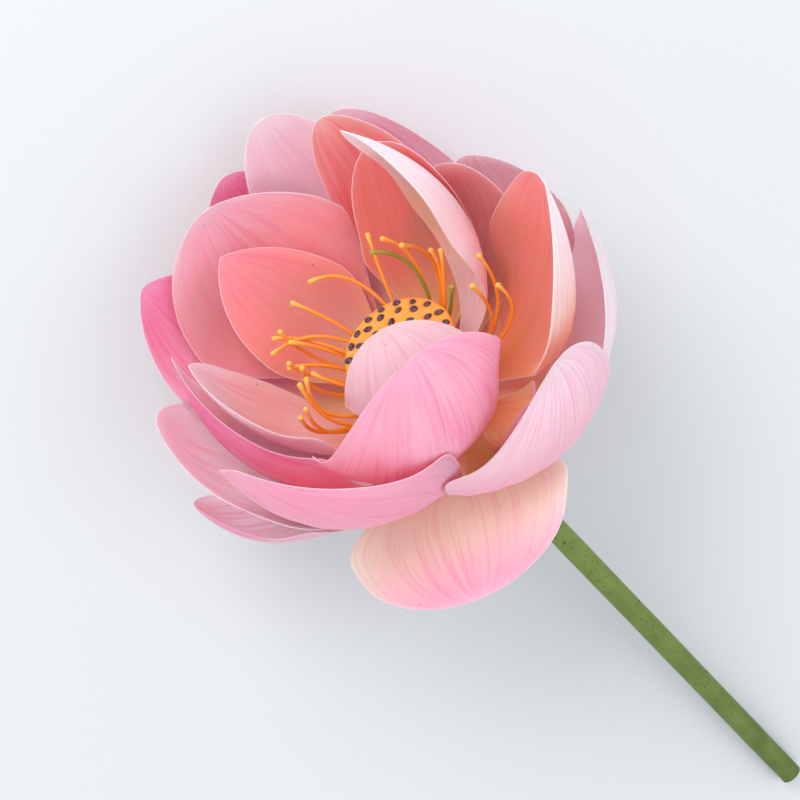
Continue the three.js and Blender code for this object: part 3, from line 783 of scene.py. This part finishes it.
# %% Stamens in place
STAMEN_RINGS = 46
for number, entry in enumerate(STAMENS, start=1):
    stamen = {**STAMEN_USUAL, **entry}
    azimuth, sway = stamen["azimuth"], stamen["sway"]
    foot = around_axis(azimuth, STAMEN_FOOT_RADIUS, stamen["height"])
    bow = around_axis(azimuth + sway * 0.3, *stamen["bow"])
    tip = around_axis(azimuth + sway, *stamen["tip"])
    t = np.concatenate([np.linspace(0, 0.88, 30), np.linspace(0.89, 1, STAMEN_RINGS - 30)])
    path = np.outer((1 - t) ** 2, foot) + np.outer(2 * t * (1 - t), bow) + np.outer(t * t, tip)
    to_tip = np.linalg.norm(tip - path, axis=1)
    club = smooth(1 - to_tip / 4.2) * (CLUB_RADIUS - FILAMENT_RADIUS)
    rounding = np.sqrt(np.clip(1 - (1 - np.minimum(to_tip, 1.0)) ** 2, 0.02, 1))
    sway_noise = 0.04 * np.sin(t * 17 + number)
    radii = (FILAMENT_RADIUS * (1 + sway_noise) + club) * rounding
    corners, faces, place = tube(path, radii, 20)
    mesh = bpy.data.meshes.new(f"stamen_{number}")
    mesh.from_pydata(laid(corners).tolist(), [], faces)
    store(mesh, "place", place)
    skin = green_filament if entry.get("green") else ripe_filament
    settle(f"stamen_{number}_rod", mesh, skin, "stamen", f"stamen_{number}")
print("each stamen has", len(faces), "faces")

# %% [markdown]
# ## Receptacle
#
# The seed head is a fleshy cone, flat on top, turned from one profile: a lathe shape. The top is
# domed by 2 mm and its rim is rounded over. Its flesh is smooth, waxy and orange-yellow, and dips
# a little round every carpel.

# %% Receptacle mesh
RECEPTACLE_RADIUS = 20.3
RECEPTACLE_TOP = 44
DOME = 2.2  # how far the top falls from its middle to its rim, mm
TURNS = 144
CARPEL_RINGS = [(1, 0, 0), (5, 5.4, 14), (9, 9.9, 31), (14, 14.1, 8), (19, 17.9, 4)]  # count, radius, start
CARPEL_RADIUS = 1.5
DIMPLE = 0.5  # depth of the hollow that a carpel sits in, mm


def dome_height(radius):
    return RECEPTACLE_TOP - DOME * (radius / RECEPTACLE_RADIUS) ** 2


seats = []
for count, ring_radius, start in CARPEL_RINGS:
    for step in range(count):
        wander = dice.uniform(-0.35, 0.35, 2) if ring_radius else np.zeros(2)
        angle = start + 360 * step / count + wander[0] * 6
        seats.append(around_axis(angle, ring_radius + wander[1], dome_height(ring_radius)))
seats = np.array(seats)

neck_profile = [(0.02, 15.5), (6.8, 15.5), (7.4, 17), (7.6, 21)]
side_profile = [(10, 28), (15, 34.5), (19.3, 38.3), (20.2, 39.8)]
rim_profile = [(20.3, 40.6), (20.1, 41.3), (19.7, 41.75)]
top_profile = [(r, dome_height(r)) for r in np.linspace(19.2, 0.02, 40)]
knots = np.array(neck_profile + side_profile + rim_profile + top_profile)
steps = np.concatenate([[0], np.cumsum(np.linalg.norm(np.diff(knots, axis=0), axis=1))])
even = np.linspace(0, steps[-1], 110)
profile = np.stack([np.interp(even, steps, knots[:, 0]), np.interp(even, steps, knots[:, 1])], -1)
for _ in range(3):
    profile[1:-1] = (profile[:-2] + 2 * profile[1:-1] + profile[2:]) / 4

angles = np.linspace(0, 2 * math.pi, TURNS, endpoint=False)
lathe = np.stack(
    [
        np.outer(profile[:, 0], np.cos(angles)),
        np.outer(profile[:, 0], np.sin(angles)),
        np.repeat(profile[:, 1:], TURNS, axis=1),
    ],
    axis=-1,
)
flat = lathe.reshape(-1, 3)
gaps = np.linalg.norm(flat[:, None, :2] - seats[None, :, :2], axis=2).min(axis=1)
on_top = smooth((flat[:, 2] - 40.5) / 1.0)
swell = 0.22 * np.exp(-(((gaps - 2.4) / 0.7) ** 2)) - DIMPLE * smooth(1 - gaps / 2.1)
flat[:, 2] += on_top * swell
grid = np.arange(len(flat)).reshape(len(profile), TURNS)
beside = np.roll(grid, -1, axis=1)
faces = np.stack([grid[:-1], beside[:-1], beside[1:], grid[1:]], -1).reshape(-1, 4).tolist()
faces += [grid[0][::-1].tolist(), grid[-1].tolist()]
receptacle_mesh = bpy.data.meshes.new("receptacle")
receptacle_mesh.from_pydata(laid(flat).tolist(), [], faces)
store(receptacle_mesh, "well", gaps, "FLOAT")
print("receptacle faces:", len(faces), "carpels:", len(seats))

# %% [markdown]
# The flesh is spongy plant tissue under a smooth waxy skin, so it has a soft gloss and a warm
# glow: IOR 1.42, roughness about 0.45. Its pattern is a mottle 3 mm wide and pores 0.4 mm
# wide. Round each carpel the flesh is painted darker: a painted shade for its hollow.

# %% Receptacle flesh
MOTTLE = 3.0  # mm
PORE = 0.45  # mm

spongy_flesh, tree, shader = blank("waxy_receptacle_flesh")
well = add(tree, "ShaderNodeAttribute", attribute_name="well")
mottle = grained(tree, MOTTLE, 3.0)
pores = grained(tree, PORE, 1.0)
patch = add(tree, "ShaderNodeMapRange", {"Value": mottle, 1: 0.3, 2: 0.7})
flesh = add(
    tree,
    "ShaderNodeMix",
    {MIX_FACTOR: patch.outputs[0], MIX_A: linear("#F29A3C"), MIX_B: linear("#F9AC50")},
    data_type="RGBA",
)
# Painted shade: darker flesh round each carpel, where its hollow is shaded.
hollow_shade = add(tree, "ShaderNodeMapRange", {"Value": well.outputs["Fac"], 1: 1.2, 2: 2.3, 3: 0.55, 4: 0.0})
shaded_flesh = add(
    tree,
    "ShaderNodeMix",
    {MIX_FACTOR: hollow_shade.outputs[0], MIX_A: flesh.outputs[MIX_COLOUR], MIX_B: linear("#D9742A")},
    data_type="RGBA",
)
tree.links.new(shaded_flesh.outputs[MIX_COLOUR], shader.inputs["Base Color"])
bump = add(tree, "ShaderNodeBump", {"Height": pores, "Strength": 0.35, "Distance": 0.12 * MM})
tree.links.new(bump.outputs[0], shader.inputs["Normal"])
gloss = add(tree, "ShaderNodeMapRange", {"Value": pores, 1: 0.3, 2: 0.7, 3: 0.4, 4: 0.55})
tree.links.new(gloss.outputs[0], shader.inputs["Roughness"])
shader.inputs["IOR"].default_value = 1.42
shader.inputs["Subsurface Weight"].default_value = 0.25
shader.inputs["Subsurface Radius"].default_value = (1.0, 0.5, 0.2)
shader.inputs["Subsurface Scale"].default_value = 1.5 * MM
settle("receptacle_head", receptacle_mesh, spongy_flesh, "receptacle_flesh", "receptacle")
print("flesh nodes:", len(tree.nodes))

# %% [markdown]
# ## Carpels
#
# The tips of the carpels, the future seeds, stand out of the top like dark beads, each a little
# longer one way and pinched at its middle. Icospheres from bmesh, squeezed and turned at random
# with a fixed seed, give such beads without repeating one. They are hard, purple-brown and shiny:
# IOR 1.5, roughness 0.3. Lighter bluish blotches, laid over each bead by noise, are a painted
# highlight.

# %% Carpels
beads = bmesh.new()
for seat in seats:
    shape = Matrix.Diagonal((dice.uniform(1.0, 1.3), dice.uniform(0.75, 0.95), 0.62, 1))
    spin = Matrix.Rotation(dice.uniform(0, math.pi), 4, "Z")
    size = CARPEL_RADIUS * dice.uniform(0.88, 1.02)
    spot = Matrix.Translation(Vector(seat) - Vector((0, 0, 0.25)))
    made = bmesh.ops.create_icosphere(beads, subdivisions=4, radius=size, matrix=spot @ spin @ shape)
    for corner in made["verts"]:
        offset = corner.co - Vector(seat)
        reach = math.hypot(offset.x, offset.y) / size
        corner.co.z -= 0.22 * math.exp(-((reach / 0.22) ** 2)) * (offset.z > 0)
        corner.co.x += 0.08 * math.sin(5 * offset.y + seat[0])
carpel_mesh = bpy.data.meshes.new("carpels")
beads.to_mesh(carpel_mesh)
beads.free()
corners = np.array([corner.co for corner in carpel_mesh.vertices])
carpel_mesh.vertices.foreach_set("co", laid(corners).ravel())
carpel_mesh.update()

BLOTCH = 1.1  # mm

hard_seed, tree, shader = blank("hard_carpel_skin")
blotch = grained(tree, BLOTCH, 3.0)
colour_and_highlight = add(tree, "ShaderNodeValToRGB", {0: blotch})
colour_and_highlight.color_ramp.elements[0].position, colour_and_highlight.color_ramp.elements[0].color = 0.35, linear("#3A1A1E")
# Painted highlight: the ramp's lighter bluish end.
colour_and_highlight.color_ramp.elements[1].position, colour_and_highlight.color_ramp.elements[1].color = 0.68, linear("#6A4560")
tree.links.new(colour_and_highlight.outputs[0], shader.inputs["Base Color"])
dents = add(tree, "ShaderNodeBump", {"Height": blotch, "Strength": 0.5, "Distance": 0.15 * MM})
tree.links.new(dents.outputs[0], shader.inputs["Normal"])
wax = add(tree, "ShaderNodeMapRange", {"Value": blotch, 1: 0.3, 2: 0.7, 3: 0.24, 4: 0.42})
tree.links.new(wax.outputs[0], shader.inputs["Roughness"])
shader.inputs["IOR"].default_value = 1.5
settle("carpel_tips", carpel_mesh, hard_seed, "receptacle_flesh")
print("carpel faces:", len(carpel_mesh.polygons))

# %% [markdown]
# ## Stem
#
# A lotus flower stalk is a smooth green rod with small dark prickles. It leaves the bloom
# straight down the axis, bends through the neck and runs straight to a clean cut. The neck swells
# to carry the petals. The far end is left open here, because the cut face has its own cell.

# %% Stem mesh
STEM_RADIUS, STEM_TAPER, STEM_LENGTH = 4.4, 0.92, 178
NECK_TOP, NECK_RADIUS, NECK_BEND_RADIUS = 15, 7.6, 45
NECK_BEND = 29 * DEG
STEM_HEADING = 284

sideways = around_axis(STEM_HEADING, 1, 0)
down = np.array([0, 0, -1])
straight_top = np.outer(np.linspace(NECK_TOP, 0, 16), [0, 0, 1])
bend = np.linspace(0, NECK_BEND, 26)[1:]
curved = NECK_BEND_RADIUS * (np.outer(np.sin(bend), down) + np.outer(1 - np.cos(bend), sideways))
onward = math.cos(NECK_BEND) * down + math.sin(NECK_BEND) * sideways
straight = curved[-1] + np.outer(np.linspace(0, STEM_LENGTH, 180)[1:], onward)
stem_path = np.concatenate([straight_top, curved, straight])
stem_run = np.concatenate([[0], np.cumsum(np.linalg.norm(np.diff(stem_path, axis=0), axis=1))])
share = stem_run / stem_run[-1]
stem_radii = STEM_RADIUS * (1 + (STEM_TAPER - 1) * share)
stem_radii += (NECK_RADIUS - STEM_RADIUS) * smooth(1 - share * 9)
stem_radii *= 1 + 0.006 * np.sin(stem_run / 7) + 0.004 * np.sin(stem_run / 2.3)
corners, faces, place = tube(stem_path, stem_radii, 64)
stem_mesh = bpy.data.meshes.new("stem")
stem_mesh.from_pydata(laid(corners).tolist(), [], faces[:-1])
store(stem_mesh, "place", place)
print("stem length in mm:", round(stem_run[-1]))

# %% [markdown]
# The stalk's skin is a smooth cuticle over green tissue, with a waxy sheen: IOR 1.42 and roughness
# 0.45. The green is darker and duller towards the cut, with faint paler patches. Dark prickle
# bases dot it: many fine ones 0.5 mm wide and 2 mm apart, and some of 1 mm, drawn with two sizes
# of cells. Faint ridges run along it, 1.2 mm apart.

# %% Stem material
PRICKLE_SPACING = 1.8  # mm
WART_SPACING = 6.5  # mm
RIDGE_SPACING = 1.2  # mm
CLOUD = 9.0  # width of a paler patch, mm
MOSS, LEAF_GREEN, PALE_GREEN, PRICKLE = "#4E6020", "#72893A", "#9CB660", "#242A14"

stalk_skin, tree, shader = blank("waxy_stalk_skin")
coords = add(tree, "ShaderNodeTexCoord")
place = add(tree, "ShaderNodeAttribute", attribute_name="place")
where = add(tree, "ShaderNodeSeparateXYZ", {0: place.outputs["Vector"]})
age = add(tree, "ShaderNodeMapRange", {"Value": where.outputs[2], 1: 0.3, 2: 1.0})
mottle = grained(tree, CLOUD, 4.0)
green = add(
    tree,
    "ShaderNodeMix",
    {MIX_FACTOR: age.outputs[0], MIX_A: linear(LEAF_GREEN), MIX_B: linear(MOSS)},
    data_type="RGBA",
)
patch = add(tree, "ShaderNodeMapRange", {"Value": mottle, 1: 0.4, 2: 0.75, 3: 0.0, 4: 0.2})
lit = add(
    tree,
    "ShaderNodeMix",
    {MIX_FACTOR: patch.outputs[0], MIX_A: green.outputs[MIX_COLOUR], MIX_B: linear(PALE_GREEN)},
    data_type="RGBA",
)
spotted = lit.outputs[MIX_COLOUR]
raised = 0.0
for spacing, low, high in ((PRICKLE_SPACING, 0.11, 0.19), (WART_SPACING, 0.07, 0.1)):
    scattered = {"Vector": coords.outputs["Object"], "Scale": 1 / (spacing * MM)}
    cells = add(tree, "ShaderNodeTexVoronoi", scattered)
    reach = {"Value": cells.outputs["Distance"], 1: low, 2: high, 3: 0.9, 4: 0.0}
    spot = add(tree, "ShaderNodeMapRange", reach).outputs[0]
    marked = {MIX_FACTOR: spot, MIX_A: spotted, MIX_B: linear(PRICKLE)}
    spotted = add(tree, "ShaderNodeMix", marked, data_type="RGBA").outputs[MIX_COLOUR]
    raised = add(tree, "ShaderNodeMath", {0: raised, 1: spot}, operation="MAXIMUM").outputs[0]
tree.links.new(spotted, shader.inputs["Base Color"])
round_scale = add(
    tree,
    "ShaderNodeVectorMath",
    {0: place.outputs["Vector"], 1: (1 / 40, STEM_RADIUS / RIDGE_SPACING, 0)},
    operation="MULTIPLY",
)
ridges = add(tree, "ShaderNodeTexNoise", {"Vector": round_scale.outputs[0], "Scale": 1.0, "Detail": 1.0})
relief = add(tree, "ShaderNodeMath", {0: ridges.outputs["Fac"], 1: raised}, operation="ADD")
bump = add(tree, "ShaderNodeBump", {"Height": relief.outputs[0], "Strength": 0.5, "Distance": 0.15 * MM})
tree.links.new(bump.outputs[0], shader.inputs["Normal"])
gloss = add(tree, "ShaderNodeMapRange", {"Value": mottle, 1: 0.3, 2: 0.7, 3: 0.38, 4: 0.52})
tree.links.new(gloss.outputs[0], shader.inputs["Roughness"])
shader.inputs["IOR"].default_value = 1.42
shader.inputs["Subsurface Weight"].default_value = 0.1
shader.inputs["Subsurface Radius"].default_value = (0.5, 1.0, 0.3)
shader.inputs["Subsurface Scale"].default_value = 1.0 * MM
settle("stem_stalk", stem_mesh, stalk_skin, "stem_skin", "stem")
print("stalk nodes:", len(tree.nodes))

# %% [markdown]
# ## The cut face
#
# The knife leaves a flat wet face of pale pith, and through it run the air channels that the plant
# breathes by: a ring of narrow ones round two pairs of wider ones. Holes could be cut with a
# Boolean modifier. Pushing the corners of a fine disc inward is simpler and never fails, because
# every hole runs straight down the stalk.

# %% Cut face mesh
CHANNEL_DEPTH = 5  # mm
CHANNELS = [(4, 1.25, 0.62), (8, 2.75, 0.4)]  # count, distance from the middle, radius of the hole, mm
CUT_RINGS, CUT_SIDES = 46, 128

channel_places, channel_radii = [], []
for count, distance, hole in CHANNELS:
    for step in range(count):
        angle = 2 * math.pi * (step + 0.2) / count
        channel_places.append((distance * math.cos(angle), distance * math.sin(angle)))
        channel_radii.append(hole)
ring_sizes = np.linspace(0.02, 1, CUT_RINGS) * stem_radii[-1]
turning = np.linspace(0, 2 * math.pi, CUT_SIDES, endpoint=False)
across_x, across_y = np.outer(ring_sizes, np.cos(turning)), np.outer(ring_sizes, np.sin(turning))
spots = np.stack([across_x, across_y], -1).reshape(-1, 2)
into = np.linalg.norm(spots[:, None] - np.array(channel_places), axis=2) - np.array(channel_radii)
depth = CHANNEL_DEPTH * smooth(-into.min(axis=1) / 0.14)
beside_stalk = np.cross(onward, [1, 0, 0])
beside_stalk /= np.linalg.norm(beside_stalk)
over_stalk = np.cross(onward, beside_stalk)
corners = stem_path[-1] + spots @ np.stack([beside_stalk, over_stalk]) - depth[:, None] * onward
grid = np.arange(len(corners)).reshape(CUT_RINGS, CUT_SIDES)
beside = np.roll(grid, -1, axis=1)
faces = np.stack([grid[:-1], beside[:-1], beside[1:], grid[1:]], -1).reshape(-1, 4).tolist()
faces.append(grid[0][::-1].tolist())
cut_mesh = bpy.data.meshes.new("stem_cut_face")
cut_mesh.from_pydata(laid(corners).tolist(), [], faces)
store(cut_mesh, "depth", depth / CHANNEL_DEPTH, "FLOAT")
print("channels:", len(channel_radii), "cut face corners:", len(corners))

# %% [markdown]
# Wet pith is a pale green sponge of thin-walled cells: matt, with a grain of cells 0.35 mm
# wide. Down the channels hardly any light comes back, so they are painted dark, a painted shade.

# %% Pith material
CELL = 0.35  # mm

wet_pith, tree, shader = blank("wet_stalk_pith")
sunk = add(tree, "ShaderNodeAttribute", attribute_name="depth")
grain = grained(tree, CELL, 2.0)
sponge = add(
    tree,
    "ShaderNodeMix",
    {MIX_FACTOR: grain, MIX_A: linear("#C9D49A"), MIX_B: linear("#E2E6C0")},
    data_type="RGBA",
)
# Painted shade: the channels are painted near black, since hardly any light comes back from down them.
hollow = add(
    tree,
    "ShaderNodeMix",
    {MIX_FACTOR: sunk.outputs["Fac"], MIX_A: sponge.outputs[MIX_COLOUR], MIX_B: linear("#2C3418")},
    data_type="RGBA",
)
tree.links.new(hollow.outputs[MIX_COLOUR], shader.inputs["Base Color"])
bump = add(tree, "ShaderNodeBump", {"Height": grain, "Strength": 0.4, "Distance": 0.1 * MM})
tree.links.new(bump.outputs[0], shader.inputs["Normal"])
damp = add(tree, "ShaderNodeMapRange", {"Value": grain, 1: 0.3, 2: 0.7, 3: 0.5, 4: 0.75})
tree.links.new(damp.outputs[0], shader.inputs["Roughness"])
shader.inputs["IOR"].default_value = 1.36
settle("stem_cut_face", cut_mesh, wet_pith, "stem_skin")
print("pith nodes:", len(tree.nodes))

# %% [markdown]
# ## The floor and the light
#
# The flower lies on a plain pale sheet that runs out of sight. The light is that of a bright
# studio: a wide soft lamp above and to the left, a weaker one opposite, and an even pale
# surround that fills the shadows.

# %% Floor
PAPER_TOOTH = 2.0  # mm
bpy.ops.mesh.primitive_plane_add(size=6, location=(0, 0, 0))
floor = bpy.context.object
floor.name = "pale_sheet"
sheet, tree, shader = blank("pale_matte_sheet")
tooth = grained(tree, PAPER_TOOTH, 2.0)
paper = add(
    tree,
    "ShaderNodeMix",
    {MIX_FACTOR: tooth, MIX_A: linear("#D2D6D8"), MIX_B: linear("#D5D9DB")},
    data_type="RGBA",
)
tree.links.new(paper.outputs[MIX_COLOUR], shader.inputs["Base Color"])
shader.inputs["Roughness"].default_value = 0.9
floor.data.materials.append(sheet)
print("floor:", floor.name)


# %% Lights
def soft_lamp(name, towards, distance, size, power, colour):
    """A square lamp in this direction from the bloom, facing it."""
    light = bpy.data.lights.new(name, "AREA")
    light.size, light.energy, light.color = size, power, linear(colour)[:3]
    lamp = bpy.data.objects.new(name, light)
    towards = Vector(towards).normalized()
    lamp.location = Vector(laid(AIM)) + towards * distance
    lamp.rotation_euler = towards.to_track_quat("Z", "Y").to_euler()
    bpy.context.scene.collection.objects.link(lamp)
    return lamp


key_way = turn @ (back + 0.55 * above - 0.5 * right)
fill_way = turn @ (back - 0.2 * above + 0.9 * right)
soft_lamp("key", key_way, 1.3, 0.8, 8.8, "#FFF9F5")
soft_lamp("fill", fill_way, 1.6, 1.2, 4, "#F6F8FF")

surround = bpy.data.worlds.new("pale_surround")
surround.use_nodes = True
sky = surround.node_tree.nodes["Background"]
sky.inputs["Color"].default_value = linear("#F0F4F8")
sky.inputs["Strength"].default_value = 1.05
bpy.context.scene.world = surround
bpy.context.scene.view_settings.view_transform = "Standard"
